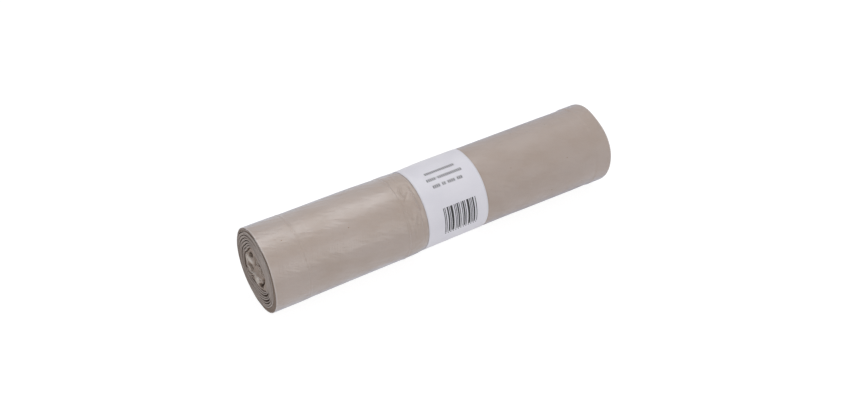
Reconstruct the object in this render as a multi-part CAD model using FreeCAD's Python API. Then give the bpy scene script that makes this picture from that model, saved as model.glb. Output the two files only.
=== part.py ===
"""A coreless roll of bin bags with a paper band round its middle, in millimetres.

The roll lies along X on a small flat spot. Its origin is on the floor, under the middle of the roll.
"""

import FreeCAD, Part
import math
import os

from FreeCAD import Vector

# The wound film
roll_length = 290.0
roll_radius = 31.1
flat_width = 12.0
turns = 8
core_radius = 11.0
core_stretch = 0.26
stretch_growth = 1.5
core_angle = math.radians(56.0)
slit_gap = 0.32
slack_gap = 0.62
slack_sharpness = 3
tail_angle = math.radians(-24.0)
tail_wall = 0.30
tail_ramp = math.radians(10.0)

# The film that the winding fork held, across the core
web_wall = 1.8
web_bow = 2.6
web_setback = 3.0
wad_half_width = 6.9
wad_half_height = 5.1
wad_wall = 3.4
wad_offset = 5.7
wad_setback = 4.5

# The ends, where the turns inside the outer one stand out
end_stand_out = 1.6
rim_depth = 2.8

# The outer surface along the roll
left_swell = 0.20
right_swell = 0.45
left_crease_inset = 25.5
right_crease_inset = 13.5
crease_width = 3.0
shoulder_length = 8.0

# The paper band and its print
band_width = 52.0
band_centre_x = 2.6
paper_wall = 0.15
band_fit = 0.20
floor_clearance = 0.02
lap_angle = math.radians(-4.0)
lap_length = 14.0
lap_ramp_length = 7.0
ink_wall = 0.04
ink_clearance = 0.08
bar_field_width = 28.0
bar_offset = 1.9
bar_height = 20.6
bar_top_angle = math.radians(152.0)
bar_widths = (1, 1, 2, 1, 3, 1, 1, 2)
space_widths = (1, 2, 1, 1, 2, 1, 1)
bar_count = 17
rule_angles = (math.radians(97.0), math.radians(108.5), math.radians(120.0))
rule_offset = 0.5
rule_widths = (26.5, 30.5, 26.5)
rule_gaps = ((), (0.30,), (0.26, 0.42, 0.72))
rule_word_gap = 1.6
tick_height = 2.5
tick_pitch = 1.6
tick_width = 0.8

full_turn = 2 * math.pi
whole_length = roll_length + 2 * end_stand_out
section_radius = roll_radius + max(left_swell, right_swell)
axis_height = math.sqrt(roll_radius**2 - (flat_width / 2) ** 2)
band_radius = axis_height - paper_wall - floor_clearance
waist_radius = band_radius - band_fit
tail_lip = roll_radius - waist_radius + tail_wall
turn_pitch = (roll_radius - tail_lip - core_radius) / turns
print_radius = band_radius + paper_wall + ink_clearance
band_left = band_centre_x - band_width / 2
band_right = band_centre_x + band_width / 2


def spot(radius, angle, x=0.0):
    """A point at a radius and an angle about the roll's axis; 0 is +Y and a quarter turn is up."""
    return Vector(x, radius * math.cos(angle), axis_height + radius * math.sin(angle))


def oval(radius, angle):
    """How far out a turn lies at an angle: round on the outside, drawn out into an oval near the core."""
    inward = (roll_radius - radius) / (roll_radius - core_radius)
    stretch = core_stretch * max(inward, 0.0) ** stretch_growth
    return radius * (1 + stretch * math.cos(2 * (angle - core_angle)))


def slit_side(way, outward):
    """One side of the gap between two turns, at a way round the winding from its tail."""
    middle = roll_radius - tail_lip - turn_pitch * way / full_turn
    angle = tail_angle + way
    looseness = max(0.0, math.cos(2 * (angle - core_angle))) ** slack_sharpness
    depth = min(1.0, way / (full_turn * turns))
    gap = slit_gap + slack_gap * looseness * depth
    return oval(middle, angle) + outward * gap / 2


def arcs(radius_at, start, stop):
    """Arcs end to end along a curve given by its radius at each way round the winding."""
    count = math.ceil(abs(stop - start) / math.radians(45.0))
    step = (stop - start) / count
    edges = []
    for n in range(count):
        ways = [start + step * (n + share) for share in (0.0, 0.5, 1.0)]
        points = [spot(radius_at(way), tail_angle + way) for way in ways]
        edges.append(Part.Arc(*points).toShape())
    return edges


def line(a, b):
    return Part.LineSegment(a, b).toShape()


def inner_face(way):
    return slit_side(way, 1)


def outer_face(way):
    return slit_side(way - full_turn, -1)


def outermost(_way):
    return section_radius


def wound_section():
    """The winding's section: one ribbon of film from its thin tail to the core, with a gap between turns."""
    end = full_turn * turns
    tail_root = spot(inner_face(0.0), tail_angle)
    tail_tip = spot(inner_face(0.0) + tail_wall, tail_angle)
    edges = [line(tail_tip, spot(section_radius, tail_angle + tail_ramp))]
    edges += arcs(outermost, tail_ramp, full_turn - tail_ramp)
    edges.append(line(spot(section_radius, tail_angle - tail_ramp), spot(outer_face(full_turn), tail_angle)))
    edges += arcs(outer_face, full_turn, end)
    edges.append(line(spot(outer_face(end), tail_angle + end), spot(inner_face(end), tail_angle + end)))
    edges += arcs(inner_face, end, 0.0)
    edges.append(line(tail_root, tail_tip))
    return Part.Face(Part.Wire(edges))


def core_wall(angle):
    """The middle of the innermost turn's wall, at an angle."""
    end = full_turn * turns
    way = end - (tail_angle + end - angle) % full_turn
    return (inner_face(way) + outer_face(way)) / 2


def core_point(across, along):
    """A point by its place across and along the oval core."""
    y = along * math.cos(core_angle) - across * math.sin(core_angle)
    z = along * math.sin(core_angle) + across * math.cos(core_angle)
    return Vector(0, y, axis_height + z)


def web_half(side):
    """One half of the S of film across the core, between two arcs about one centre."""
    half = core_wall(core_angle + side * math.pi / 2) / 2
    radius = (half**2 + web_bow**2) / (2 * web_bow)
    sweep = math.asin(half / radius)

    def on_arc(arc_radius, turn):
        across = side * (half + arc_radius * math.sin(turn))
        along = side * (web_bow - radius + arc_radius * math.cos(turn))
        return core_point(across, along)

    outer = [on_arc(radius + web_wall / 2, turn) for turn in (-sweep, 0.0, sweep)]
    inner = [on_arc(radius - web_wall / 2, turn) for turn in (sweep, 0.0, -sweep)]
    edges = [Part.Arc(*outer).toShape(), line(outer[2], inner[0])]
    edges += [Part.Arc(*inner).toShape(), line(inner[2], outer[0])]
    return along_roll(Part.Face(Part.Wire(edges)), web_setback)


def along_roll(face, setback):
    """A section drawn out along the roll, to a setback from each end."""
    face = face.translated(Vector(setback - whole_length / 2, 0, 0))
    return face.extrude(Vector(whole_length - 2 * setback, 0, 0))


def oval_face(middle, half_width, half_height):
    """An oval beside the web, drawn across the core as eight arcs."""
    step = full_turn / 8

    def on_oval(turn):
        return core_point(half_width * math.sin(turn), middle + half_height * math.cos(turn))

    edges = []
    for n in range(8):
        points = [on_oval(step * (n + share)) for share in (0.0, 0.5, 1.0)]
        edges.append(Part.Arc(*points).toShape())
    return Part.Face(Part.Wire(edges))


def wad(side):
    """The film bunched up beside the web, in one half of the core, with a slot where it is folded."""
    middle = side * wad_offset
    outside = oval_face(middle, wad_half_width, wad_half_height)
    slot = oval_face(middle, wad_half_width - wad_wall, wad_half_height - wad_wall)
    return along_roll(outside.cut(slot), wad_setback)


def profile_point(x, radius):
    return Vector(x, 0, axis_height + radius)


def outer_profile():
    """Stations along the outer surface, from left to right, as places and radii."""
    left, right = -roll_length / 2, roll_length / 2
    left_crease = left + left_crease_inset
    right_crease = right - right_crease_inset
    return [
        (left, roll_radius + left_swell),
        (left_crease - crease_width / 2, roll_radius + left_swell),
        (left_crease + crease_width / 2, roll_radius),
        (band_left - shoulder_length, roll_radius),
        (band_left, waist_radius),
        (band_right, waist_radius),
        (band_right + shoulder_length, roll_radius),
        (right_crease - crease_width / 2, roll_radius),
        (right_crease + crease_width / 2, roll_radius + right_swell),
        (right, roll_radius + right_swell),
    ]


def envelope():
    """The roll's outer shape: waisted under the band, with a step down to the outer turn at each end."""
    step_radius = roll_radius - rim_depth
    right_end = [
        profile_point(roll_length / 2, step_radius),
        profile_point(whole_length / 2, step_radius),
        profile_point(whole_length / 2, 0.0),
    ]
    left_end = [
        profile_point(-whole_length / 2, 0.0),
        profile_point(-whole_length / 2, step_radius),
        profile_point(-roll_length / 2, step_radius),
    ]
    corners = [profile_point(*station) for station in outer_profile()] + right_end + left_end
    edges = [line(a, b) for a, b in zip(corners, corners[1:] + corners[:1])]
    face = Part.Face(Part.Wire(edges))
    return face.revolve(Vector(0, 0, axis_height), Vector(1, 0, 0), 360)


def floor_block():
    """Everything above the floor, which cuts the flat spot."""
    side = whole_length + roll_radius
    return Part.makeBox(2 * side, 2 * side, 2 * side, Vector(-side, -side, 0))


def bag_roll():
    winding = along_roll(wound_section(), 0.0)
    inside = [piece(side) for piece in (web_half, wad) for side in (1, -1)]
    whole = winding.fuse(inside).removeSplitter()
    return whole.common(envelope()).common(floor_block())


def sleeve(inner, outer, left, right):
    """A straight tube about the roll's axis."""
    start = Vector(left, 0, axis_height)
    along = Vector(1, 0, 0)
    outside = Part.makeCylinder(outer, right - left, start, along)
    return outside.cut(Part.makeCylinder(inner, right - left, start, along))


def sector(inner, outer, left, right, start, stop):
    """A patch of a tube between two angles."""
    radii = ((outer, start, stop), (inner, stop, start))
    edges = []
    for radius, a, b in radii:
        points = [spot(radius, angle, left) for angle in (a, (a + b) / 2, b)]
        edges.append(Part.Arc(*points).toShape())
    edges.insert(1, line(spot(outer, stop, left), spot(inner, stop, left)))
    edges.append(line(spot(inner, start, left), spot(outer, start, left)))
    return Part.Face(Part.Wire(edges)).extrude(Vector(right - left, 0, 0))


def lap():
    """The strip's glued end, which rises from the layer below and lies over it."""
    seat = band_radius + paper_wall
    top = seat + paper_wall
    ramp_stop = lap_angle + lap_ramp_length / seat
    lap_stop = lap_angle + lap_length / seat
    ramp_middle = (lap_angle + ramp_stop) / 2
    flat_middle = (ramp_stop + lap_stop) / 2

    def arc(*places):
        return Part.Arc(*[spot(*place, band_left) for place in places]).toShape()

    edges = [
        arc((seat, lap_angle), (seat + paper_wall / 2, ramp_middle), (top, ramp_stop)),
        arc((top, ramp_stop), (top, flat_middle), (top, lap_stop)),
        line(spot(top, lap_stop, band_left), spot(seat, lap_stop, band_left)),
        arc((seat, lap_stop), (seat, ramp_stop), (seat, lap_angle)),
    ]
    return Part.Face(Part.Wire(edges)).extrude(Vector(band_width, 0, 0))


def paper_band():
    ring = sleeve(band_radius, band_radius + paper_wall, band_left, band_right)
    return ring.fuse(lap()).removeSplitter()


def ink(left, right, start, length):
    """A printed patch on the band, from an angle on for a length round it."""
    stop = start + length / print_radius
    return sector(print_radius, print_radius + ink_wall, left, right, start, stop)


def bar_block():
    """A block of plain bars of mixed widths."""
    widths = [bar_widths[n % len(bar_widths)] for n in range(bar_count)]
    spaces = [space_widths[n % len(space_widths)] for n in range(bar_count - 1)]
    unit = bar_field_width / (sum(widths) + sum(spaces))
    left = band_centre_x + bar_offset - bar_field_width / 2
    bars = []
    for width, space in zip(widths, spaces + [0]):
        bars.append(ink(left, left + width * unit, bar_top_angle, bar_height))
        left += (width + space) * unit
    return bars


def tick_row(angle, width, gaps):
    """A row of plain upright ticks, broken where a line of print has its spaces."""
    left = band_centre_x + rule_offset - width / 2
    count = int(width / tick_pitch)
    start = angle - tick_height / 2 / print_radius
    ticks = []
    for n in range(count):
        x = left + n * tick_pitch
        in_gap = any(abs(x + tick_width / 2 - left - gap * width) < rule_word_gap / 2 for gap in gaps)
        if not in_gap:
            ticks.append(ink(x, x + tick_width, start, tick_height))
    return ticks


def band_print():
    marks = bar_block()
    for row in zip(rule_angles, rule_widths, rule_gaps):
        marks += tick_row(*row)
    return Part.makeCompound(marks)


def main():
    os.makedirs("parts", exist_ok=True)
    pieces = {"bag_roll": bag_roll(), "paper_band": paper_band(), "band_print": band_print()}
    for name, shape in pieces.items():
        shape.exportStep(f"parts/{name}.step")
        print(name, len(shape.Solids), "solids", round(shape.Volume / 1000, 2), "cm3", shape.isValid())


main()
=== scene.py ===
"""The looks of a bin bag roll: wound film with its two ends and core, and a paper band with a plain print.

The roll lies along X on the floor, with +Z up. Its shapes are worked out in millimetres about its axis,
with angles from +Y (the back) through the top to -Y (the front), and become metres in their meshes.
"""

import math

import bmesh
import bpy
import numpy as np
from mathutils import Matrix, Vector


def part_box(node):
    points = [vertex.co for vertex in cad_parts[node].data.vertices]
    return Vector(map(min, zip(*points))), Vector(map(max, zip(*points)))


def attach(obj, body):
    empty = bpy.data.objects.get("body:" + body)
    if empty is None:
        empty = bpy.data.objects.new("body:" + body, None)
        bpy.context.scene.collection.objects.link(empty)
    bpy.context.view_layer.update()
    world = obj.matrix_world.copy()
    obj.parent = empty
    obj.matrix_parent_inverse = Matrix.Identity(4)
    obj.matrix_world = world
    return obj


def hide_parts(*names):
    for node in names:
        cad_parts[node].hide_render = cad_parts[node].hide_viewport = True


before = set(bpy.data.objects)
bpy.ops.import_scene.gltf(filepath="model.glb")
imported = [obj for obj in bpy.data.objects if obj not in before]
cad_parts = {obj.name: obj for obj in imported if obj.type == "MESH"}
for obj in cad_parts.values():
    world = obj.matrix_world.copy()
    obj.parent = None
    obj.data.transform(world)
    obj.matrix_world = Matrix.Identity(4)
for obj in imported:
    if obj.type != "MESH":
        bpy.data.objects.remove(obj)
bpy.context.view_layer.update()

MM = 0.001
FULL_TURN = 2 * math.pi

# The roll, from the frame and the sizes that it was built to
roll_low, roll_high = [Vector(corner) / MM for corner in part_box("bag_roll")]
band_low, band_high = [Vector(corner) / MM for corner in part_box("paper_band")]
half_length = (roll_high.x - roll_low.x) / 2
end_stand_out = 1.6
end_fray = 0.35
rim_plane = half_length - end_fray
skin_end = half_length - end_stand_out - end_fray
roll_radius = 31.1
flat_width = 12.0
axis_height = math.sqrt(roll_radius**2 - (flat_width / 2) ** 2)
band_left, band_right = band_low.x, band_high.x
paper_face = -band_low.y
paper_wall = 0.15

# The winding, outside a core that the film leaves uneven: radii at equal steps from the back over the top
turns = 8
tail_angle = math.radians(-24.0)
slit_gap = 0.40
core_radii = (15.6, 14.6, 13.4, 15.8, 18.0, 14.4, 14.6, 16.0, 16.0, 15.8, 14.2, 12.8, 12.4, 13.6, 16.8, 16.6)

# Where turns are slack: the turn, degrees, half the spread in degrees, and how much wider its gap is
slack_spots = (
    (4, 80.0, 34.0, 0.12),
    (3, 74.0, 22.0, 0.04),
    (5, 70.0, 30.0, 0.06),
    (7, 78.0, 26.0, 0.20),
    (7, 228.0, 30.0, 0.85),
    (5, 226.0, 34.0, 1.00),
    (3, 234.0, 30.0, 0.90),
    (2, 228.0, 22.0, 0.40),
    (4, 5.0, 30.0, 0.35),
    (6, 10.0, 40.0, 0.25),
)

# The outermost layer, and the step between it and the turns inside it at each end
step_radii = (28.5, 28.7, 28.6, 27.5, 26.4, 27.0, 28.1, 28.4)
left_lean = 0.75
left_front_flat = 0.8
right_nick = 1.2
right_nick_angle = math.radians(112.0)
lip_wall = 0.42
stack_rows = 12
hidden_depth = 6.0
left_crease = -skin_end + 25.5
right_crease = skin_end - 13.5
left_swell = 0.20
right_swell = 0.45
film_under_band = paper_face - paper_wall - 0.12

# Puckers in the film beside the band: corners as places along the roll and degrees, half width, height
mm_per_degree = math.radians(roll_radius)
pucker_lines = (
    (((-34.2, 102.0), (-35.9, 108.0), (-36.1, 115.0), (-35.4, 120.0)), 0.7, -0.22),
    (((-33.0, 104.0), (-34.8, 111.0), (-34.7, 121.0)), 0.7, 0.24),
    (((-31.2, 116.0), (-35.4, 125.0)), 1.0, -0.24),
    (((-28.3, 104.0), (-28.3, 118.0), (-28.4, 142.0)), 0.6, 0.20),
    (((-27.2, 108.0), (-27.1, 124.0), (-27.2, 141.0)), 0.6, -0.34),
    (((-27.2, 141.0), (-27.8, 168.0), (-27.4, 190.0)), 0.5, -0.16),
    (((-37.4, 139.0), (-35.7, 151.0)), 0.6, -0.20),
    (((-34.1, 133.0), (-34.1, 149.0)), 0.6, 0.16),
    (((-29.7, 144.0), (-31.6, 158.0)), 0.6, 0.20),
    (((-28.2, 149.0), (-29.7, 164.0)), 0.6, 0.20),
    (((-30.7, 147.0), (-33.2, 164.0)), 0.6, -0.20),
    (((-33.2, 156.0), (-34.4, 172.0)), 0.5, 0.12),
    (((-36.2, 160.0), (-35.2, 176.0)), 0.6, -0.12),
    (((-25.2, 84.0), (-25.0, 120.0), (-25.4, 160.0), (-25.0, 196.0)), 0.45, 0.14),
    (((-31.0, 74.0), (-33.4, 96.0)), 0.7, 0.12),
    (((-36.0, 70.0), (-38.0, 92.0)), 0.8, 0.08),
)


def ease(value, start, stop):
    """Rises smoothly from 0 at start to 1 at stop."""
    share = np.clip((value - start) / (stop - start), 0.0, 1.0)
    return share * share * (3 - 2 * share)


def ridge(value, middle, width):
    """A smooth bump of height 1 about a middle."""
    return np.exp(-(((value - middle) / width) ** 2))


def ripple(u, v, seed, cells_round=64):
    """Smooth chance values from -1 to 1, one cell to a unit; they repeat after cells_round cells of v."""
    table = np.random.default_rng(seed).uniform(-1.0, 1.0, (97, cells_round))
    low_u, low_v = np.floor(u).astype(int), np.floor(v).astype(int)
    part_u, part_v = u - low_u, v - low_v
    blend_u = part_u * part_u * (3 - 2 * part_u)
    blend_v = part_v * part_v * (3 - 2 * part_v)

    def knot(step_u, step_v):
        return table[(low_u + step_u) % 97, (low_v + step_v) % cells_round]

    near = knot(0, 0) * (1 - blend_v) + knot(0, 1) * blend_v
    far = knot(1, 0) * (1 - blend_v) + knot(1, 1) * blend_v
    return near * (1 - blend_u) + far * blend_u


def along_line(y, z, corners, width):
    """1 on a line through corners, falling off beside it."""
    nearest = np.full(np.shape(y), 1e9)
    for (ay, az), (by, bz) in zip(corners, corners[1:]):
        run_y, run_z = by - ay, bz - az
        share = np.clip(((y - ay) * run_y + (z - az) * run_z) / (run_y**2 + run_z**2), 0.0, 1.0)
        nearest = np.minimum(nearest, np.hypot(y - ay - share * run_y, z - az - share * run_z))
    return np.exp(-((nearest / width) ** 2))


def film_piece(name, points, tube=True, ring=True, uv=None, shade=None):
    """A shell from a grid of points: a tube joins its last row to its first, a ring its last column."""
    rows, columns = points.shape[:2]
    row = np.arange(rows if tube else rows - 1)[:, None]
    column = np.arange(columns if ring else columns - 1)[None, :]
    below, beside = (row + 1) % rows, (column + 1) % columns
    near, far = row * columns, below * columns
    quads = np.stack([near + column, near + beside, far + beside, far + column], axis=-1).reshape(-1, 4)
    mesh = bpy.data.meshes.new(name)
    mesh.from_pydata((points.reshape(-1, 3) * MM).tolist(), [], quads.tolist())
    if uv is not None:
        layer = mesh.uv_layers.new(name="winding")
        corners = np.zeros(len(mesh.loops), dtype=np.int32)
        mesh.loops.foreach_get("vertex_index", corners)
        layer.data.foreach_set("uv", uv.reshape(-1, 2)[corners].astype(np.float32).ravel())
    if shade is not None:
        # The attribute holds painted light and shade, with some tone, that the film materials turn into
        # colour.
        paleness = mesh.attributes.new("paleness", "FLOAT", "POINT")
        spread = np.broadcast_to(shade, (rows, columns))
        paleness.data.foreach_set("value", spread.astype(np.float32).ravel())
    piece = bpy.data.objects.new(name, mesh)
    bpy.context.scene.collection.objects.link(piece)
    return piece


def finish_shell(piece, material, merge=0.002):
    """Merges doubles, turns the faces outwards, shades them smooth and gives the material."""
    mesh = piece.data
    shell = bmesh.new()
    shell.from_mesh(mesh)
    bmesh.ops.remove_doubles(shell, verts=shell.verts, dist=merge * MM)
    bmesh.ops.dissolve_degenerate(shell, dist=0.0005 * MM, edges=shell.edges)
    bmesh.ops.recalc_face_normals(shell, faces=shell.faces)
    shell.to_mesh(mesh)
    shell.free()
    mesh.materials.clear()
    mesh.materials.append(material)
    mesh.polygons.foreach_set("use_smooth", [True] * len(mesh.polygons))
    mesh.update()
    return piece


def about_axis(x, radius, angle):
    """Points from places along the roll, radii and angles, kept above the floor."""
    y = radius * np.cos(angle)
    z = axis_height + radius * np.sin(angle)
    return np.stack(np.broadcast_arrays(x, y, np.maximum(z, 0.0)), axis=-1)


# Materials


def node_material(name):
    """A material with an empty tree but for its shader, and short ways to add nodes and links."""
    material = bpy.data.materials.new(name)
    material.use_nodes = True
    tree = material.node_tree
    tree.nodes.clear()
    output = tree.nodes.new("ShaderNodeOutputMaterial")
    shader = tree.nodes.new("ShaderNodeBsdfPrincipled")
    tree.links.new(shader.outputs["BSDF"], output.inputs["Surface"])
    return material, tree, shader


def linear(red, green, blue):
    """A colour from the 0 to 255 values that a screen shows."""
    channels = [value / 255 for value in (red, green, blue)]
    return [c / 12.92 if c <= 0.04045 else ((c + 0.055) / 1.055) ** 2.4 for c in channels] + [1.0]


def place(tree, scale=(1, 1, 1)):
    """Places on the piece, scaled for a pattern."""
    coordinates, mapping = tree.nodes.new("ShaderNodeTexCoord"), tree.nodes.new("ShaderNodeMapping")
    mapping.inputs["Scale"].default_value = scale
    tree.links.new(coordinates.outputs["Object"], mapping.inputs["Vector"])
    return mapping.outputs["Vector"]


def winding(tree, cells, slant=0.0):
    """Places on the wound film, in cells of two lengths in millimetres, turned by a slant."""
    coordinates, mapping = tree.nodes.new("ShaderNodeTexCoord"), tree.nodes.new("ShaderNodeMapping")
    mapping.vector_type = "TEXTURE"
    mapping.inputs["Scale"].default_value = (cells[0], cells[1], 1.0)
    mapping.inputs["Rotation"].default_value = (0.0, 0.0, slant)
    tree.links.new(coordinates.outputs["UV"], mapping.inputs["Vector"])
    return mapping.outputs["Vector"]


def grain(tree, vector, scale, detail=3.0, roughness=0.5):
    """A soft random pattern of values."""
    noise = tree.nodes.new("ShaderNodeTexNoise")
    noise.inputs["Scale"].default_value = scale
    noise.inputs["Detail"].default_value = detail
    noise.inputs["Roughness"].default_value = roughness
    tree.links.new(vector, noise.inputs["Vector"])
    return noise.outputs["Fac"]


def levels(tree, value, low, high, out_low=0.0, out_high=1.0):
    """A value's range from low to high, spread from out_low to out_high."""
    node = tree.nodes.new("ShaderNodeMapRange")
    node.interpolation_type = "SMOOTHSTEP"
    node.inputs["From Min"].default_value = low
    node.inputs["From Max"].default_value = high
    node.inputs["To Min"].default_value = out_low
    node.inputs["To Max"].default_value = out_high
    tree.links.new(value, node.inputs["Value"])
    return node.outputs["Result"]


def blend_colours(tree, share, first, second):
    """A mix of two colours, all the second one where the share is 1."""
    node = tree.nodes.new("ShaderNodeMix")
    node.data_type = "RGBA"
    for value, socket in ((first, node.inputs["A"]), (second, node.inputs["B"])):
        if isinstance(value, bpy.types.NodeSocket):
            tree.links.new(value, socket)
        else:
            socket.default_value = value
    tree.links.new(share, node.inputs["Factor"])
    return node.outputs["Result"]


def relief(tree, height, distance, strength=1.0, below=None):
    """A bump from a height, with a depth in metres, over another bump if there is one."""
    node = tree.nodes.new("ShaderNodeBump")
    node.inputs["Distance"].default_value = distance
    node.inputs["Strength"].default_value = strength
    tree.links.new(height, node.inputs["Height"])
    if below is not None:
        tree.links.new(below, node.inputs["Normal"])
    return node.outputs["Normal"]


def specks(tree, vector, scale, size):
    """Scattered small dots, 1 inside a dot."""
    cells = tree.nodes.new("ShaderNodeTexVoronoi")
    cells.inputs["Scale"].default_value = scale
    tree.links.new(vector, cells.inputs["Vector"])
    return levels(tree, cells.outputs["Distance"], size, size * 0.4)


def satin_film():
    """The satin film of the outermost layer, with soft blotches, stretch lines and a few specks, a painted
    highlight along its rims, and painted shade over its right half, which is also rougher and less glossy.
    """
    material, tree, shader = node_material("satin_film")
    blotch = grain(tree, place(tree, scale=(0.6, 1.0, 1.0)), 70.0, detail=4.0)
    cloud = grain(tree, place(tree, scale=(0.5, 1.0, 1.0)), 22.0, detail=2.0)
    clouded = levels(tree, cloud, 0.3, 0.7)
    colour = blend_colours(tree, clouded, linear(176, 161, 151), linear(183, 169, 160))
    blotched = levels(tree, blotch, 0.35, 0.7, 0.0, 0.5)
    colour = blend_colours(tree, blotched, colour, linear(171, 154, 140))
    # Painted highlight along the rims and lips, from the piece's painted light value.
    colour = blend_colours(tree, paleness(tree), colour, linear(200, 190, 183))
    # Painted shade: the right half darker, where it is also rougher and less glossy.
    parts = tree.nodes.new("ShaderNodeSeparateXYZ")
    tree.links.new(place(tree), parts.inputs["Vector"])
    right_half_rough_and_shaded = levels(tree, parts.outputs["X"], -0.025, 0.05)
    right_half_painted_shade = levels(tree, right_half_rough_and_shaded, 0.0, 1.0, 0.0, 0.25)
    colour = blend_colours(tree, right_half_painted_shade, colour, linear(164, 149, 139))
    dots = specks(tree, place(tree, scale=(0.8, 1.0, 1.0)), 95.0, 0.05)
    colour = blend_colours(tree, dots, colour, linear(140, 112, 84))
    tree.links.new(colour, shader.inputs["Base Color"])
    rough = tree.nodes.new("ShaderNodeMath")
    rough.operation = "MULTIPLY_ADD"
    rough.inputs[1].default_value = 0.17
    tree.links.new(right_half_rough_and_shaded, rough.inputs[0])
    tree.links.new(levels(tree, blotch, 0.3, 0.7, 0.31, 0.42), rough.inputs[2])
    tree.links.new(rough.outputs["Value"], shader.inputs["Roughness"])
    tree.links.new(levels(tree, right_half_rough_and_shaded, 0.0, 1.0, 0.62, 0.45), shader.inputs["Specular IOR Level"])
    fibres = grain(tree, winding(tree, (1.3, 9.0), 0.30), 1.0, detail=3.0, roughness=0.6)
    smears = grain(tree, winding(tree, (12.0, 4.0), 0.40), 1.0, detail=3.0)
    bump = relief(tree, fibres, 0.00018)
    bump = relief(tree, smears, 0.0006, below=bump)
    bump = relief(tree, cloud, 0.0008, 0.6, below=bump)
    tree.links.new(bump, shader.inputs["Normal"])
    shader.inputs["IOR"].default_value = 1.5
    shader.inputs["Sheen Weight"].default_value = 0.55
    shader.inputs["Sheen Roughness"].default_value = 0.35
    shader.inputs["Sheen Tint"].default_value = (0.55, 0.72, 1.0, 1.0)
    shader.inputs["Subsurface Weight"].default_value = 0.12
    shader.inputs["Subsurface Radius"].default_value = (0.004, 0.003, 0.0025)
    return material


def paleness(tree):
    """The piece's own value of painted light and shade, with some of the film's tone: low for painted shade,
    high for painted highlight.
    """
    node = tree.nodes.new("ShaderNodeAttribute")
    node.attribute_type = "GEOMETRY"
    node.attribute_name = "paleness"
    return node.outputs["Fac"]


def film_edges(name, light, middle, dark, cells, slant=0.0):
    """The stacked edges of many thin layers, as fine lines that follow the winding, coloured from painted
    shade to painted highlight by the piece's painted light value.
    """
    material, tree, shader = node_material(name)
    fine = grain(tree, winding(tree, cells, slant), 1.0, detail=4.0, roughness=0.7)
    # Painted light and shade from the piece's own value: dark for painted shade, light for painted
    # highlight.
    low = levels(tree, paleness(tree), 0.0, 0.5)
    high = levels(tree, paleness(tree), 0.5, 1.0)
    colour = blend_colours(tree, low, linear(*dark), linear(*middle))
    colour = blend_colours(tree, high, colour, linear(*light))
    lines = levels(tree, fine, 0.32, 0.55, 0.42, 0.0)
    colour = blend_colours(tree, lines, colour, linear(*dark))
    tree.links.new(colour, shader.inputs["Base Color"])
    bump = relief(tree, fine, 0.00022)
    mottle = grain(tree, place(tree), 900.0, detail=2.0)
    bump = relief(tree, mottle, 0.00008, below=bump)
    tree.links.new(bump, shader.inputs["Normal"])
    tree.links.new(levels(tree, fine, 0.3, 0.7, 0.5, 0.7), shader.inputs["Roughness"])
    shader.inputs["Specular IOR Level"].default_value = 0.2
    return material


def crumpled_film():
    """The loose film in the core, from painted shade in its pits to a painted highlight on its raised
    crumples, with small creases that carry painted shade.
    """
    material, tree, shader = node_material("crumpled_film")
    creases = grain(tree, place(tree), 330.0, detail=5.0, roughness=0.6)
    low = levels(tree, paleness(tree), 0.0, 0.5)
    high = levels(tree, paleness(tree), 0.5, 1.0)
    # The dark brown is painted shade in the pits and grooves, the pale colour a painted highlight on raised
    # film.
    colour = blend_colours(tree, low, linear(62, 44, 31), linear(158, 143, 132))
    colour = blend_colours(tree, high, colour, linear(212, 203, 194))
    shadow = levels(tree, creases, 0.35, 0.6, 0.30, 0.0)
    colour = blend_colours(tree, shadow, colour, linear(130, 110, 92))
    tree.links.new(colour, shader.inputs["Base Color"])
    tree.links.new(relief(tree, creases, 0.0010), shader.inputs["Normal"])
    tree.links.new(levels(tree, creases, 0.3, 0.7, 0.4, 0.6), shader.inputs["Roughness"])
    shader.inputs["Specular IOR Level"].default_value = 0.2
    shader.inputs["Subsurface Weight"].default_value = 0.15
    shader.inputs["Subsurface Radius"].default_value = (0.003, 0.002, 0.0015)
    return material


def label_paper():
    """Smooth white paper with a faint cool tint, fine fibres and a slight sheen."""
    material, tree, shader = node_material("label_paper")
    fibre = grain(tree, place(tree), 1500.0, detail=4.0, roughness=0.6)
    cloud = grain(tree, place(tree), 60.0, detail=2.0)
    clouded = levels(tree, cloud, 0.3, 0.7)
    colour = blend_colours(tree, clouded, linear(221, 219, 225), linear(226, 224, 229))
    fibrous = levels(tree, fibre, 0.5, 0.75, 0.0, 0.3)
    colour = blend_colours(tree, fibrous, colour, linear(208, 206, 214))
    tree.links.new(colour, shader.inputs["Base Color"])
    bump = relief(tree, fibre, 0.00002)
    bump = relief(tree, cloud, 0.0002, 0.5, below=bump)
    tree.links.new(bump, shader.inputs["Normal"])
    tree.links.new(levels(tree, fibre, 0.3, 0.7, 0.5, 0.6), shader.inputs["Roughness"])
    return material


def label_ink():
    """Dark grey print, slightly uneven where the paper shows through."""
    material, tree, shader = node_material("label_ink")
    gaps = grain(tree, place(tree), 2200.0, detail=3.0)
    thin = levels(tree, gaps, 0.45, 0.75, 0.0, 0.5)
    colour = blend_colours(tree, thin, linear(28, 28, 30), linear(74, 74, 78))
    tree.links.new(colour, shader.inputs["Base Color"])
    tree.links.new(relief(tree, gaps, 0.00001), shader.inputs["Normal"])
    tree.links.new(levels(tree, gaps, 0.3, 0.7, 0.45, 0.6), shader.inputs["Roughness"])
    return material


# The outermost layer of film


def stand_off(x, angle):
    """How far the band and the film under it stand out at the top of the back."""
    degrees = np.degrees(angle) % 360
    return 0.9 * ease(degrees, 5.0, 40.0) * (1 - ease(degrees, 60.0, 92.0)) * ease(x, band_left - 6.0, 2.0)


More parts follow.
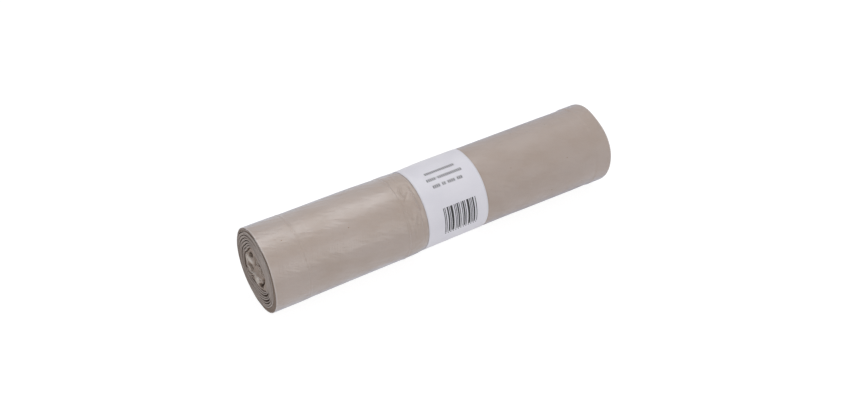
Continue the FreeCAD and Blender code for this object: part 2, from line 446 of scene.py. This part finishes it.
def skin_radius(x, angle):
    """The outer surface: swollen past the creases, pinched in by the band, with folds beside it."""
    left_of_band = np.maximum(band_left - x, 0.0)
    right_of_band = np.maximum(x - band_right, 0.0)
    under_band = (x >= band_left) & (x <= band_right)
    slack = 1.0 - under_band
    round_cells = angle / FULL_TURN
    bottom = 0.5 + 0.5 * np.cos(angle - math.radians(228.0))
    top_back = ridge(angle, math.radians(49.0), math.radians(38.0))
    radius = roll_radius + 0.0 * x * angle

    radius += left_swell * (1 - ease(x, left_crease - 1.5, left_crease + 1.5))
    radius += right_swell * ease(x, right_crease - 1.5, right_crease + 1.5)
    faint = 0.7 + 0.3 * ripple(0 * x + 3.5, round_cells * 9, 11, 9)
    radius += faint * (0.22 * ridge(x, left_crease + 0.3, 0.5) - 0.26 * ridge(x, left_crease - 0.9, 0.5))
    radius += faint * (0.05 * ridge(x, right_crease + 0.9, 0.5) - 0.06 * ridge(x, right_crease, 0.45))
    radius -= 0.12 * ridge(x, left_crease - 1.9, 0.4) * ridge(angle, math.radians(140.0), 0.6)
    corner = ridge(angle, right_nick_angle, math.radians(22.0))
    radius -= 0.6 * corner * ease(x, skin_end - 5.0, skin_end)
    front = ridge(angle, math.radians(162.0), math.radians(38.0))
    radius -= left_front_flat * front * ease(-x, skin_end - 16.0, skin_end)

    pinch = roll_radius - film_under_band - stand_off(np.clip(x, band_left, band_right), angle)
    radius -= pinch * under_band
    left_pinch = np.exp(-left_of_band / (2.2 + 1.6 * bottom)) * (left_of_band > 0)
    right_pinch = 0.5 * np.exp(-right_of_band / 1.6) + 0.5 * np.exp(-right_of_band / 20.0)
    radius -= pinch * (left_pinch + right_pinch * (right_of_band > 0))
    radius -= 0.55 * bottom * ridge(right_of_band, 16.0, 22.0) * (right_of_band > 0)
    radius += 0.35 * bottom * ease(right_of_band, 50.0, 85.0)
    radius += 0.10 * (1 - top_back) * ridge(left_of_band, 13.0, 8.0) * (left_of_band > 0)
    radius -= 0.35 * top_back * ridge(left_of_band, 15.0, 14.0) * (left_of_band > 0)

    radius += slack * 0.10 * ripple(x / 38, round_cells * 9, 21, 9)
    radius += slack * 0.06 * ripple(x / 15 + 5, round_cells * 22, 22, 22)
    radius += slack * 0.022 * ripple(x / 7 + 9, round_cells * 60, 23, 60)

    beside = ease(x, -43.0, -37.0) * (left_of_band > 0)
    ring_x = -39.8 + 0.35 * ripple(0 * x, round_cells * 8, 24, 8)
    radius += 0.22 * ridge(x, ring_x, 0.55) - 0.20 * ridge(x, ring_x + 0.9, 0.5)
    diagonal = 1 - np.abs(ripple(x / 10 + 2, round_cells * 34 + x / 9, 31, 34)) * 2
    crossing = 1 - np.abs(ripple(x / 7 + 7, round_cells * 56 - x / 8, 32, 56)) * 2
    grow = beside * (1 - np.exp(-left_of_band / 1.2))
    radius += grow * (1 - 0.6 * bottom) * (0.14 * diagonal + 0.08 * crossing)
    arc = np.degrees(angle) % 360
    for corners, width, height in pucker_lines:
        line = [(place_x, degrees * mm_per_degree) for place_x, degrees in corners]
        radius += 1.6 * height * along_line(x, arc * mm_per_degree, line, width)

    gather = np.exp(-right_of_band / 8.0) * (right_of_band > 0) * (1 - np.exp(-right_of_band / 1.2))
    radius += gather * 0.22 * (1 - np.abs(ripple(x / 9 + 4, round_cells * 30 + x / 20, 33, 30)) * 2)

    from_tail = (angle - tail_angle + math.pi) % FULL_TURN - math.pi
    after_tail = from_tail + 0.006 * ripple(x / 20, 0 * angle + 0.5, 41) > 0
    radius -= 0.45 * ease(math.radians(10.0) - np.abs(from_tail), 0.0, math.radians(10.0)) * slack
    step = 0.22 * (1 - ease(from_tail, 0.1, 1.0)) + 0.12 * ridge(from_tail, 0, 0.05)
    radius += slack * np.where(after_tail, step, 0.0)
    return radius


def outer_layer(material, stack_material):
    """The outermost layer, as a tube: its skin, a lip at each end, and the film's edges inside that."""
    spans = [
        (-skin_end, left_crease - 3, 22),
        (left_crease - 3, left_crease + 3, 20),
        (left_crease + 3, -43.0, 42),
        (-43.0, band_left - 0.02, 64),
        (band_left + 0.02, band_right - 0.04, 3),
        (band_right - 0.02, band_right, 1),
        (band_right + 0.02, 45.0, 34),
        (45.0, right_crease - 3, 38),
        (right_crease - 3, right_crease + 3, 18),
        (right_crease + 3, skin_end, 10),
    ]
    stations = np.concatenate([np.linspace(a, b, n, endpoint=False) for a, b, n in spans] + [[skin_end]])
    tail_steps = tail_angle + np.radians([-3.0, -1.5, -0.6, -0.25, 0.05, 0.3, 0.7, 1.5, 3.0])
    arcs = [
        (math.radians(4.5), math.radians(84.0), 40),
        (math.radians(84.0), math.radians(234.0), 200),
        (math.radians(234.0), FULL_TURN - math.radians(4.5), 61),
    ]
    rest = [tail_angle + np.linspace(a, b, n, endpoint=False) for a, b, n in arcs]
    angles = np.concatenate([tail_steps[4:], *rest, tail_steps[:4] + FULL_TURN])
    x, angle = np.meshgrid(stations, angles)
    radius = skin_radius(x, angle)
    wave = 0.18 * ripple(0 * angle, angle / FULL_TURN * 13, 51, 13)
    nick = right_nick * ridge(angle, right_nick_angle, math.radians(24.0))
    # edge_light is a painted highlight along the last millimetre of the skin at each end.
    edge_light = 0.9 * ease(np.abs(x), skin_end - 1.0, skin_end - 0.2)
    lean = left_lean * (0.5 - 0.5 * np.cos(angle + math.radians(5.0))) ** 2
    stretch = np.clip((np.abs(x) / skin_end - 0.97) / 0.03, 0.0, 1.0)
    x = x + np.sign(x) * (wave + np.where(x > 0, -nick, lean)) * stretch
    skin = about_axis(x, radius, angle)
    skin_uv = np.stack([x, angle * roll_radius], axis=-1)

    def end_stack(side):
        """The lip, then the film's edges from the skin inwards: points, places on the film and painted
        light, a painted highlight on the lip and painted shade on the edges.
        """
        edge = radius[:, 0] if side < 0 else radius[:, -1]
        tip = skin_end + wave[:, 0] + (-nick[:, 0] if side > 0 else lean[:, 0])
        # The third value of each lip row is a painted highlight; the stack rows below get 0, painted shade.
        lip = ((0.12, 0.03, 1.0), (0.15, 0.16, 1.0), (0.06, 0.30, 0.9))
        places = [(tip + out, edge - inwards, pale) for out, inwards, pale in lip]
        inner = edge - lip_wall
        step = round_curve(step_radii, angles) - 0.05
        for n in range(stack_rows):
            share = n / (stack_rows - 1)
            uneven = 0.07 * ripple(0 * angles + n * 1.7, angles / FULL_TURN * 17, 61 + side, 17)
            lift = 0.05 if n % 2 else -0.05
            back = 0.10 * (1 - abs(2 * share - 1))
            places.append((tip - back + uneven + lift, inner + (step - inner) * share, 0.0))
        places.append((0 * angles + skin_end - hidden_depth, step, 0.0))
        if side < 0:
            places.reverse()
        points = np.stack([about_axis(side * out, r, angles) for out, r, pale in places], axis=1)
        uv = np.stack([np.stack([angles * roll_radius, r], axis=-1) for out, r, pale in places], axis=1)
        return points, uv, np.stack([pale + 0 * angles for out, r, pale in places], axis=1)

    right_points, right_uv, right_shade = end_stack(1)
    left_points, left_uv, left_shade = end_stack(-1)
    points = np.concatenate([skin, right_points, left_points], axis=1)
    uv = np.concatenate([skin_uv, right_uv, left_uv], axis=1)
    shade = np.concatenate([edge_light, right_shade, left_shade], axis=1)
    piece = finish_shell(film_piece("outer_layer", points, uv=uv, shade=shade), material)
    piece.data.materials.append(stack_material)
    for face in piece.data.polygons:
        across = Vector((0.0, face.center.y, face.center.z - axis_height * MM))
        faces_out = face.normal.dot(across.normalized()) > 0.5
        under_skin = across.length < (roll_radius - 0.20) * MM
        near_end = abs(face.center.x) > (skin_end - hidden_depth - 2.0) * MM
        if under_skin and near_end and not faces_out:
            face.material_index = 1
    return piece


# The turns inside it


def round_curve(values, angle):
    """A smooth closed curve through values at equal steps round the axis."""
    values = np.array(values)
    steps = angle / FULL_TURN * len(values)
    k = np.floor(steps).astype(int)
    f = steps - k
    a, b, c, d = [values[(k + n) % len(values)] for n in (-1, 0, 1, 2)]
    return 0.5 * (2 * b + (c - a) * f + (2 * a - 5 * b + 4 * c - d) * f**2 + (3 * b - 3 * c + d - a) * f**3)


def slit_middle(way):
    """The middle of the gap between two turns, at a way round the winding from its tail."""
    share = np.clip((way / FULL_TURN - 1) / (turns - 1), 0.0, 1.0)
    step = round_curve(step_radii, tail_angle + way)
    return step + (round_curve(core_radii, tail_angle + way) - step) * share


def slit_width(way):
    """The gap's width: a thin slit that opens where the turns are slack."""
    width = slit_gap + 0.05 * ripple(way / FULL_TURN * 5.3, 0 * way, 71)
    for turn, degrees, spread, extra in slack_spots:
        middle = math.radians(degrees) - tail_angle + FULL_TURN * turn
        width += extra * np.exp(-(((way - middle) / math.radians(spread)) ** 4))
    return width


def inner_wall(way):
    """The radius of a turn's inner side."""
    return slit_middle(way) + slit_width(way) / 2


def wound_turns(material):
    """All the turns but the outermost, as one ribbon from under the step to the core."""
    ways = np.linspace(FULL_TURN, FULL_TURN * turns, 150 * (turns - 1))
    angle = tail_angle + ways
    inner = inner_wall(ways)
    outer = slit_middle(ways - FULL_TURN) - slit_width(ways - FULL_TURN) / 2
    outer = np.minimum(outer, round_curve(step_radii, angle))
    length = np.cumsum(outer) * (ways[1] - ways[0])
    wall = outer - inner
    uneven = 0.22 * ripple(ways / FULL_TURN * 3.1, 0 * ways, 81)
    uneven += 0.16 * ripple(ways / FULL_TURN * 9.7, 0 * ways, 82)
    # side_light is painted light: paler towards the front and darker towards the back.
    side_light = 0.14 * np.cos(angle - math.radians(165.0))
    # first_turn carries a painted highlight on the outermost of these turns, at its rim and outer side.
    first_turn = 1 - ease(ways / FULL_TURN, 1.9, 2.0)
    loops, lines, shades = [], [], []

    outer_gap = slit_width(ways - FULL_TURN) * 0.48
    inner_gap = slit_width(ways) * 0.48

    def add(side, back, share, shade, line, filled=0.0):
        """One line along the ribbon, at a share of its wall; filled closes the gap beside it."""
        radius = outer - wall * share + filled * (outer_gap if share == 0.0 else -inner_gap)
        loops.append(about_axis(side * (rim_plane - back), radius, angle))
        lines.append(np.stack([length, share * 2.1 + line + 0 * length], axis=-1))
        shades.append(shade + 0 * length)

    def rim(side, shares):
        """The ribbon's frayed edge at one end."""
        for share in shares:
            edge = abs(2 * share - 1)
            layers = 0.10 * ripple(length / 14.0 + 7, share * 9.3 + 0 * length + 30, 83 + side)
            outer_edge = first_turn * (share < 0.25)
            rounding = 0.45 * edge**5 * (1 - 0.8 * outer_edge)
            back = 0.20 + rounding + uneven * (0.6 if side > 0 else 1.0) + layers
            # edge_shade: painted shade darkening each turn's edges toward the gaps, and a painted highlight
            # on the first turn's outer edge.
            edge_shade = 0.10 * edge - 0.34 * edge**6 * (1 - outer_edge) + 0.8 * outer_edge
            add(side, back, share, 0.50 + side_light + edge_shade + 0.8 * layers, 0.0)

    def wall_run(share, first_side):
        """One side of the ribbon, from end to end, in painted shade that darkens the deeper it lies, with a
        painted highlight on the first turn's outer side.
        """
        for side, depths in ((first_side, (1.0, 1.7, 2.3, 8.0)), (-first_side, (8.0, 2.3, 1.7, 1.0))):
            for depth in depths:
                shade = 0.30 - 0.10 * depth + (first_turn * (1.9 - depth) if share == 0.0 else 0.0)
                line = (-1 if share == 0.0 else 1) * depth * 0.6
                add(side, depth, share, np.clip(shade, 0.0, 1.0), line, float(depth > 2.0))

    across = np.linspace(0.0, 1.0, 15)
    rim(-1, across)
    wall_run(1.0, -1)
    rim(1, across[::-1])
    wall_run(0.0, 1)
    points, uv, shade = [np.stack(parts, axis=1) for parts in (loops, lines, shades)]
    for end in (0, -1):
        middle = points[end].copy()
        middle[:, 1:] = points[end, len(across) // 2, 1:]
        points[end] = middle
    return finish_shell(film_piece("wound_turns", points, tube=False, uv=uv, shade=shade), material)


# The film in the core: ovals as their middle, half length, half width and degrees, and lines as corners

upper_pit = ((5.5, 10.5), 3.3, 1.6, 150.0)
lower_pit = ((-7.2, -8.1), 2.8, 1.6, 150.0)
tan_pit = ((8.5, -1.8), 4.2, 2.0, 171.0)
upper_crumple = ((7.6, 5.2), 6.0, 3.4, 165.0)
lower_crumple = ((-1.6, -6.6), 5.4, 4.0, 120.0)
left_stack = ((11.0, -10.2), 5.6, 3.8, 164.0)
right_stack = ((-7.6, 8.4), 6.4, 5.0, 35.0)
web_line = ((15.5, -8.6), (11.2, -7.1), (4.6, -4.5), (-1.4, -1.9), (-4.2, -1.6), (-9.0, -0.9), (-11.9, -1.5))
ring_line = ((13.4, 5.0), (14.2, 1.0), (13.6, -3.4), (9.6, -5.0))
streak_line = ((0.2, 12.0), (-0.6, 8.4), (0.4, 5.0))
side_line = ((-11.6, 1.2), (-11.8, -1.6), (-9.6, -5.6))


def within(y, z, spot, sharpness=4):
    """1 inside an oval spot, falling off at its edge."""
    (middle_y, middle_z), long_half, short_half, degrees = spot
    turn = math.radians(degrees)
    along = (y - middle_y) * math.cos(turn) + (z - middle_z) * math.sin(turn)
    across = (z - middle_z) * math.cos(turn) - (y - middle_y) * math.sin(turn)
    return np.exp(-(((along / long_half) ** 2 + (across / short_half) ** 2) ** (sharpness / 2)))


def folds(y, z, seed, cell):
    """Sharp small creases, as in crushed film."""
    bend = 0.6 * ripple(y / cell / 2 + 9, z / cell / 2 + 9, seed + 1)
    return 1 - 2 * np.abs(ripple(y / cell + bend + 20, z / cell - bend + 20, seed))


def core_relief(y, z, seed):
    """How far the core's film stands out from the rims, and its painted light and shade: dark in the pits,
    grooves and between stacked layers, pale on the raised crumples, folds and ridges.
    """
    pits = within(y, z, upper_pit, 12) + within(y, z, lower_pit, 12)
    shaded_shallow_pit = within(y, z, tan_pit)
    light = np.clip(within(y, z, upper_crumple) + within(y, z, lower_crumple) - pits - shaded_shallow_pit, 0.0, 1.0)
    stacks = np.clip(within(y, z, left_stack) + within(y, z, right_stack), 0.0, 1.0)
    web = along_line(y, z, web_line, 0.6)
    rest = along_line(y, z, ring_line, 1.1)
    dark = np.clip(along_line(y, z, streak_line, 0.65) + along_line(y, z, side_line, 0.75), 0.0, 1.0)
    left_rows, right_rows = (0.96 * z + 0.28 * y) / 1.6, (0.91 * z - 0.42 * y) / 2.0
    layers = np.sin(FULL_TURN * np.where(y < 0, right_rows, left_rows))
    height = -1.1 + 0.30 * folds(y, z, seed, 2.6) + 0.16 * folds(y, z, seed + 4, 1.2)
    height += light * (0.7 + 0.45 * folds(y, z, seed + 8, 3.1))
    height += stacks * (0.5 * layers + 0.3) + 1.3 * web + 0.7 * rest
    height -= 9.0 * np.clip(pits, 0, 1) + 2.4 * shaded_shallow_pit + 2.2 * dark
    # Painted highlight: paler on the raised crumples, fold crests, web and ring ridges.
    shade = 0.50 + 0.12 * folds(y, z, seed + 8, 3.1) + 0.34 * light + 0.35 * web + 0.25 * rest
    # Painted shade: dark in the pits, the shallow pit, the grooves and between the stacked layers.
    round_pits = within(y, z, upper_pit, 3) + within(y, z, lower_pit, 3)
    shade += stacks * (0.75 * layers - 0.45) - 1.2 * round_pits - 0.45 * shaded_shallow_pit - 0.7 * dark
    return height, np.clip(shade, 0.0, 1.0)


def core_film(material):
    """The film crushed in the core, with its folds, pits and ridges at both ends."""
    angle = np.linspace(0.0, FULL_TURN, 250, endpoint=False)
    last_way = FULL_TURN * turns
    way = last_way - (tail_angle + last_way - angle) % FULL_TURN
    outline = inner_wall(way) + 0.30
    share = np.linspace(0.0, 1.0, 84)
    radius = outline[:, None] * share[None, :]
    y, z = radius * np.cos(angle)[:, None], radius * np.sin(angle)[:, None]
    sheets, shades = [], []
    for side in (-1, 1):
        height, shade = core_relief(y, z, 120 + 3 * side)
        height = height - 1.2 * ease(share, 0.93, 1.0)[None, :]
        sheet = np.stack([side * (rim_plane + height), y, axis_height + z], axis=-1)
        sheets.append(sheet if side < 0 else sheet[:, ::-1])
        shades.append(shade if side < 0 else shade[:, ::-1])
    middle = np.stack([0 * outline, y[:, -1], axis_height + z[:, -1]], axis=-1)[:, None]
    points = np.concatenate([sheets[0], middle, sheets[1]], axis=1)
    shade = np.concatenate([shades[0], 0.3 + 0 * angle[:, None], shades[1]], axis=1)
    return finish_shell(film_piece("core_film", points, ring=False, shade=shade), material)


# The paper band, with a lap where its two ends are glued

lap_start = math.radians(-4.0)
lap_turn = 14.0 / paper_face
lap_ramp = 0.23
lap_end_gap = 0.0006


def band_radius(x, angle):
    """The band's outer face: standing off at the top of the back, with a step where its glued end stops."""
    radius = paper_face + stand_off(x, angle)
    from_lap = (angle - lap_start) % FULL_TURN
    radius += paper_wall * ease(from_lap, 0.0, lap_ramp) * (from_lap < lap_turn)
    return radius


def paper_tube(material):
    """The strip of paper round the roll, as a closed thin tube."""
    stations = np.linspace(band_left + 0.05, band_right - 0.05, 40)
    lap_stop = lap_start + lap_turn
    lap = np.linspace(lap_start, lap_stop - lap_end_gap, 24)
    rest = np.linspace(lap_stop + lap_end_gap, lap_start + FULL_TURN, 240, endpoint=False)
    angles = np.concatenate([lap, rest])
    x, angle = np.meshgrid(stations, angles)
    outside = band_radius(x, angle)
    sway = 0.25 * ripple(0 * angle, angle / FULL_TURN * 7, 55, 7)
    sway += 0.7 * ridge(np.degrees(angle), 62.0, 22.0)
    x = x + sway * ease(x, band_right - 8.0, band_right)
    outer = about_axis(x, outside, angle)
    inner = about_axis(x[:, ::-1], outside[:, ::-1] - paper_wall, angle)
    points = np.concatenate([outer, inner], axis=1)
    return finish_shell(film_piece("paper_wrap", points), material)


# The print: rows of ticks and a block of bars, bent round the band

print_middle = (band_left + band_right) / 2
bar_field_width = 28.0
bar_offset = 1.9
bar_height = 20.6
bar_top_angle = math.radians(152.0)
bar_widths = (1, 1, 2, 1, 3, 1, 1, 2)
space_widths = (1, 2, 1, 1, 2, 1, 1)
bar_count = 17
rule_angles = (math.radians(97.0), math.radians(108.5), math.radians(120.0))
rule_offset = 0.5
rule_widths = (26.5, 30.5, 26.5)
rule_gaps = ((), (0.30,), (0.26, 0.42, 0.72))
rule_word_gap = 1.6
tick_height = 2.5
tick_pitch = 1.6
tick_width = 0.8
small_marks = 13
small_mark_pitch = 2.2
small_mark_size = (0.7, 1.1)
small_mark_drop = 1.0
ink_lift = 0.03


def print_marks():
    """Each mark's middle along the roll, its middle angle, its width and its height."""
    marks = []
    widths = [bar_widths[n % len(bar_widths)] for n in range(bar_count)]
    spaces = [space_widths[n % len(space_widths)] for n in range(bar_count - 1)]
    unit = bar_field_width / (sum(widths) + sum(spaces))
    left = print_middle + bar_offset - bar_field_width / 2
    beside_bars = bar_top_angle + bar_height / 2 / paper_face
    for width, space in zip(widths, spaces + [0]):
        marks.append((left + width * unit / 2, beside_bars, width * unit, bar_height))
        left += (width + space) * unit
    under_bars = bar_top_angle + (bar_height + small_mark_drop) / paper_face
    for n in range(small_marks):
        x = print_middle + bar_offset + (n - (small_marks - 1) / 2) * small_mark_pitch
        marks.append((x, under_bars, *small_mark_size))
    for angle, row_width, gaps in zip(rule_angles, rule_widths, rule_gaps):
        for n in range(int(row_width / tick_pitch)):
            place_in_row = n * tick_pitch + tick_width / 2
            if all(abs(place_in_row - gap * row_width) >= rule_word_gap / 2 for gap in gaps):
                x = print_middle + rule_offset - row_width / 2 + place_in_row
                marks.append((x, angle, tick_width, tick_height))
    return marks


def bent_print_tree(ink):
    """Blocks set on the marks' points, sized by them and bent round the roll's axis."""
    tree = bpy.data.node_groups.new("bent_print", "GeometryNodeTree")
    sockets = tree.interface
    sockets.new_socket("Marks", in_out="INPUT", socket_type="NodeSocketGeometry")
    face_socket = sockets.new_socket("Paper face radius", in_out="INPUT", socket_type="NodeSocketFloat")
    axis_socket = sockets.new_socket("Axis height", in_out="INPUT", socket_type="NodeSocketFloat")
    sockets.new_socket("Print", in_out="OUTPUT", socket_type="NodeSocketGeometry")
    new = tree.nodes.new
    start, stop = new("NodeGroupInput"), new("NodeGroupOutput")

    def named(name):
        """The points' own value of this name."""
        node = new("GeometryNodeInputNamedAttribute")
        node.data_type = "FLOAT_VECTOR"
        node.inputs["Name"].default_value = name
        return node.outputs["Attribute"]

    def maths(operation, first, second=None):
        """One step of reckoning with sockets or numbers."""
        node = new("ShaderNodeMath")
        node.operation = operation
        for value, socket in zip((first, second), node.inputs):
            if isinstance(value, bpy.types.NodeSocket):
                tree.links.new(value, socket)
            elif value is not None:
                socket.default_value = value
        return node.outputs[0]

    block = new("GeometryNodeMeshCube")
    block.inputs["Size"].default_value = (1.0, 1.0, 1.0)
    block.inputs["Vertices Y"].default_value = 14
    instances = new("GeometryNodeInstanceOnPoints")
    tree.links.new(start.outputs["Marks"], instances.inputs["Points"])
    tree.links.new(block.outputs["Mesh"], instances.inputs["Instance"])
    tree.links.new(named("mark_size"), instances.inputs["Scale"])
    real = new("GeometryNodeRealizeInstances")
    tree.links.new(instances.outputs["Instances"], real.inputs["Geometry"])
    position, parts = new("GeometryNodeInputPosition"), new("ShaderNodeSeparateXYZ")
    tree.links.new(position.outputs["Position"], parts.inputs["Vector"])
    radius = maths("ADD", start.outputs["Paper face radius"], parts.outputs["Z"])
    angle = maths("DIVIDE", parts.outputs["Y"], start.outputs["Paper face radius"])
    bent = new("ShaderNodeCombineXYZ")
    tree.links.new(parts.outputs["X"], bent.inputs["X"])
    tree.links.new(maths("MULTIPLY", radius, maths("COSINE", angle)), bent.inputs["Y"])
    height = maths("ADD", maths("MULTIPLY", radius, maths("SINE", angle)), start.outputs["Axis height"])
    tree.links.new(height, bent.inputs["Z"])
    place_node = new("GeometryNodeSetPosition")
    tree.links.new(real.outputs["Geometry"], place_node.inputs["Geometry"])
    tree.links.new(bent.outputs["Vector"], place_node.inputs["Position"])
    finish = new("GeometryNodeSetMaterial")
    finish.inputs["Material"].default_value = ink
    tree.links.new(place_node.outputs["Geometry"], finish.inputs["Geometry"])
    tree.links.new(finish.outputs["Geometry"], stop.inputs["Print"])
    return tree, face_socket.identifier, axis_socket.identifier


def printed_marks(ink):
    """The print as thin raised blocks that follow the band."""
    marks = print_marks()
    mesh = bpy.data.meshes.new("print_points")
    flat = [(x * MM, angle * paper_face * MM, 0.0) for x, angle, width, height in marks]
    mesh.from_pydata(flat, [], [])
    sizes = mesh.attributes.new("mark_size", "FLOAT_VECTOR", "POINT")
    for item, (x, angle, width, height) in zip(sizes.data, marks):
        item.vector = (width * MM, height * MM, 2 * ink_lift * MM)
    points = bpy.data.objects.new("print_points", mesh)
    bpy.context.scene.collection.objects.link(points)
    tree, face_input, axis_input = bent_print_tree(ink)
    modifier = points.modifiers.new("bent_print", "NODES")
    modifier.node_group = tree
    modifier[face_input] = paper_face * MM
    modifier[axis_input] = axis_height * MM
    evaluated = points.evaluated_get(bpy.context.evaluated_depsgraph_get())
    result = bpy.data.meshes.new_from_object(evaluated)
    piece = bpy.data.objects.new("printed_marks", result)
    bpy.context.scene.collection.objects.link(piece)
    bpy.data.objects.remove(points)
    return finish_shell(piece, ink, merge=0.0001)


# The studio, in metres

lamp_aim = 0.03


def studio():
    """A plain pale floor, soft lamps and a white ground."""
    pale_floor()
    white_surround()
    lamp("top_lamp", (0.28, 0.27, 1.3), (0.9, 0.8), 8.0)
    lamp("front_lamp", (0.46, -1.08, 0.36), (0.42, 0.52), 2.7)
    lamp("left_lamp", (-0.95, -0.40, 0.50), (0.6, 0.6), 2.2)


def pale_floor():
    """A wide flat floor, just under the roll."""
    floor_mesh = bpy.data.meshes.new("floor")
    reach = 4.0
    corners = [(-reach, -reach, 0), (reach, -reach, 0), (reach, reach, 0), (-reach, reach, 0)]
    floor_mesh.from_pydata(corners, [], [(0, 1, 2, 3)])
    floor = bpy.data.objects.new("floor", floor_mesh)
    bpy.context.scene.collection.objects.link(floor)
    floor.location.z = -0.0002
    floor_mesh.materials.append(floor_material())


def white_surround():
    """White where the camera sees it, straight or mirrored, and a dim cool light elsewhere."""
    world = bpy.data.worlds.new("studio")
    bpy.context.scene.world = world
    world.use_nodes = True
    tree = world.node_tree
    tree.nodes.clear()
    output = tree.nodes.new("ShaderNodeOutputWorld")
    dim, white = tree.nodes.new("ShaderNodeBackground"), tree.nodes.new("ShaderNodeBackground")
    dim.inputs["Color"].default_value = (0.93, 0.94, 1.0, 1.0)
    dim.inputs["Strength"].default_value = 0.37
    white.inputs["Color"].default_value = (1.0, 1.0, 1.0, 1.0)
    white.inputs["Strength"].default_value = 1.0
    mix = tree.nodes.new("ShaderNodeMixShader")
    tree.links.new(seen_or_mirrored(tree), mix.inputs["Fac"])
    tree.links.new(dim.outputs["Background"], mix.inputs[1])
    tree.links.new(white.outputs["Background"], mix.inputs[2])
    tree.links.new(mix.outputs["Shader"], output.inputs["Surface"])


def seen_or_mirrored(tree):
    """1 for what the camera sees, straight or mirrored."""
    paths, either = tree.nodes.new("ShaderNodeLightPath"), tree.nodes.new("ShaderNodeMath")
    either.operation = "MAXIMUM"
    tree.links.new(paths.outputs["Is Camera Ray"], either.inputs[0])
    tree.links.new(paths.outputs["Is Glossy Ray"], either.inputs[1])
    return either.outputs["Value"]


def lamp(name, at, size, power):
    """A soft flat lamp that faces the roll."""
    light = bpy.data.lights.new(name, "AREA")
    light.shape = "RECTANGLE"
    light.size, light.size_y = size
    light.energy = power
    thing = bpy.data.objects.new(name, light)
    bpy.context.scene.collection.objects.link(thing)
    thing.location = at
    towards = Vector((0, 0, lamp_aim)) - Vector(at)
    thing.rotation_euler = towards.to_track_quat("-Z", "Y").to_euler()


def floor_material():
    """A white ground that still takes the roll's soft shadow."""
    material = bpy.data.materials.new("pale_floor")
    material.use_nodes = True
    tree = material.node_tree
    tree.nodes.clear()
    output = tree.nodes.new("ShaderNodeOutputMaterial")
    matt, shown = tree.nodes.new("ShaderNodeBsdfDiffuse"), tree.nodes.new("ShaderNodeBsdfDiffuse")
    matt.inputs["Color"].default_value = (0.92, 0.92, 0.93, 1.0)
    shown.inputs["Color"].default_value = (0.20, 0.20, 0.20, 1.0)
    glow = tree.nodes.new("ShaderNodeEmission")
    glow.inputs["Strength"].default_value = 0.92
    both, mix = tree.nodes.new("ShaderNodeAddShader"), tree.nodes.new("ShaderNodeMixShader")
    tree.links.new(shown.outputs["BSDF"], both.inputs[0])
    tree.links.new(glow.outputs["Emission"], both.inputs[1])
    tree.links.new(seen_or_mirrored(tree), mix.inputs["Fac"])
    lit = tree.nodes.new("ShaderNodeAddShader")
    faint = tree.nodes.new("ShaderNodeEmission")
    faint.inputs["Strength"].default_value = 0.04
    tree.links.new(matt.outputs["BSDF"], lit.inputs[0])
    tree.links.new(faint.outputs["Emission"], lit.inputs[1])
    tree.links.new(lit.outputs["Shader"], mix.inputs[1])
    tree.links.new(both.outputs["Shader"], mix.inputs[2])
    tree.links.new(mix.outputs["Shader"], output.inputs["Surface"])
    return material


def photo_camera():
    """The camera at the photograph's viewing angle, for a picture of 854 by 410."""
    azimuth, elevation, distance = math.radians(-33.13), math.radians(36.85), 0.8181
    target = Vector((0.0, 0.0, 0.0311))
    back = Vector(
        (
            math.sin(azimuth) * math.cos(elevation),
            -math.cos(azimuth) * math.cos(elevation),
            math.sin(elevation),
        )
    )
    picture_width, focal_pixels = 854, 1100
    shift_right_pixels, shift_up_pixels = -6.45, -4.25
    camera = bpy.data.cameras.new("photo_camera")
    camera.sensor_width = 36.0
    camera.lens = 36.0 * focal_pixels / picture_width
    camera.shift_x = shift_right_pixels / picture_width
    camera.shift_y = shift_up_pixels / picture_width
    camera.clip_start = 0.01
    thing = bpy.data.objects.new("photo_camera", camera)
    bpy.context.scene.collection.objects.link(thing)
    thing.location = target + back * distance
    thing.rotation_euler = back.to_track_quat("Z", "Y").to_euler()
    bpy.context.scene.camera = thing


def main():
    """The roll, the band and the print, then the studio and the camera."""
    film = satin_film()
    # Each film_edges call gives a painted highlight, a middle tone and a painted shade colour; stack_edges'
    # darkest colour is painted shade in the ring of layer edges at each end.
    edges = film_edges("turn_edges", (206, 197, 190), (166, 154, 146), (80, 62, 48), (9.0, 0.32))
    stack = film_edges("stack_edges", (202, 193, 187), (174, 163, 155), (122, 106, 94), (4.0, 0.7), 0.5)
    roll_pieces = [outer_layer(film, stack), wound_turns(edges), core_film(crumpled_film())]
    for piece in roll_pieces:
        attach(piece, "root")
        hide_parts("bag_roll")
    band = paper_tube(label_paper())
    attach(band, "root")
    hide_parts("paper_band")
    marks = printed_marks(label_ink())
    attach(marks, "root")
    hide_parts("band_print")
    studio()
    photo_camera()
    bpy.context.scene.view_settings.view_transform = "Standard"


main()
